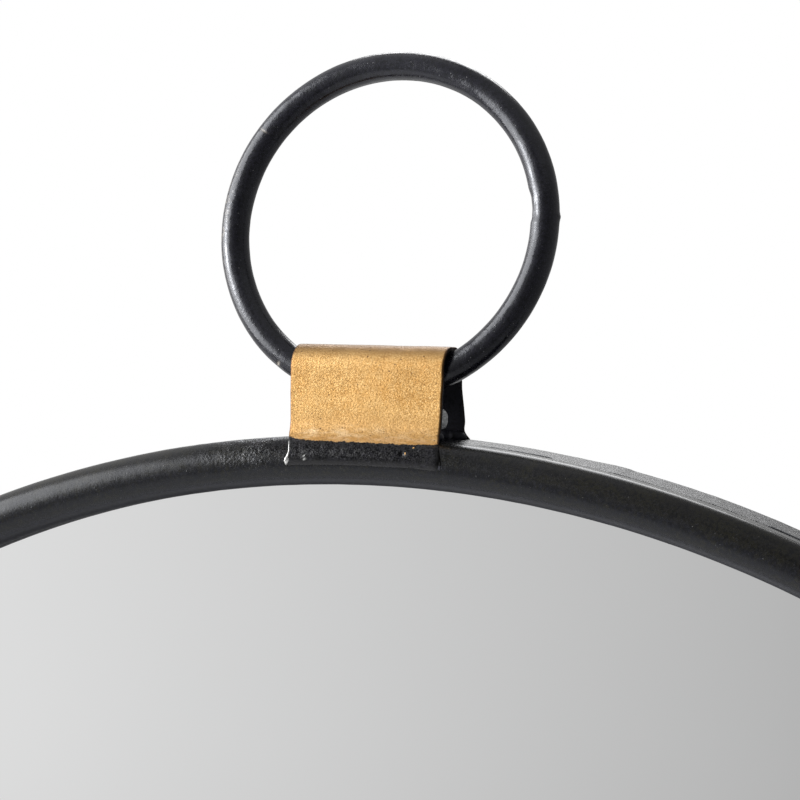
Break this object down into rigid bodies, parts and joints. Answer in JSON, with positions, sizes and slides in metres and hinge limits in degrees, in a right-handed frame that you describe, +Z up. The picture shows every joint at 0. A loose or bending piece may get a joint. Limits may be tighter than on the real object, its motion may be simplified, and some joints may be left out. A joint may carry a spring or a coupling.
{
  "type": "round wall mirror with hooks",
  "caption": "Round wall mirror in a rolled black frame, with a hanging ring in a folded gold strap on top and J-hooks below, hung by its ring or by keyhole plates.",
  "frame": {"origin": "centre of the mirror on the wall plane that the bumpers' backs touch", "axes": "+X to the right as seen from the front, +Y into the wall, so the mirror faces -Y, +Z up"},
  "size_m": [0.4806, 0.0448, 0.6112],
  "materials": {
    "black_paint": "satin, speckled, worn at high spots",
    "gold_paint": "fine-speckled matt gold",
    "silvered_glass": "polished",
    "foam_pad": "matt",
    "hardboard": "smooth brown hardboard",
    "zinc_steel": "zinc plated",
    "bumper_rubber": "matt"
  },
  "bodies": {
    "frame": {"front_rim": "black_paint", "rear_band": "black_paint", "rim_welds": "black_paint", "strap_welds": "black_paint", "hook_left": "black_paint", "hook_center": "black_paint", "hook_right": "black_paint", "hanger_strap": "gold_paint", "hook_saddle_left": "gold_paint", "hook_saddle_center": "gold_paint", "hook_saddle_right": "gold_paint", "retaining_tabs": "zinc_steel", "keyhole_plate_left": "zinc_steel", "keyhole_plate_right": "zinc_steel", "hanger_screws": "zinc_steel", "mirror_glass": "silvered_glass", "backing_pad": "foam_pad", "back_board": "hardboard", "wall_bumpers": "bumper_rubber"},
    "ring": {"hanging_ring": "black_paint"}
  },
  "joints": [
    {"name": "ring_swing", "type": "hinge", "parent": "frame", "child": "ring", "pos_m": [0, -0.01685, 0.25346], "axis": [1, 0, 0], "range_deg": [0, 118]}
  ]
}
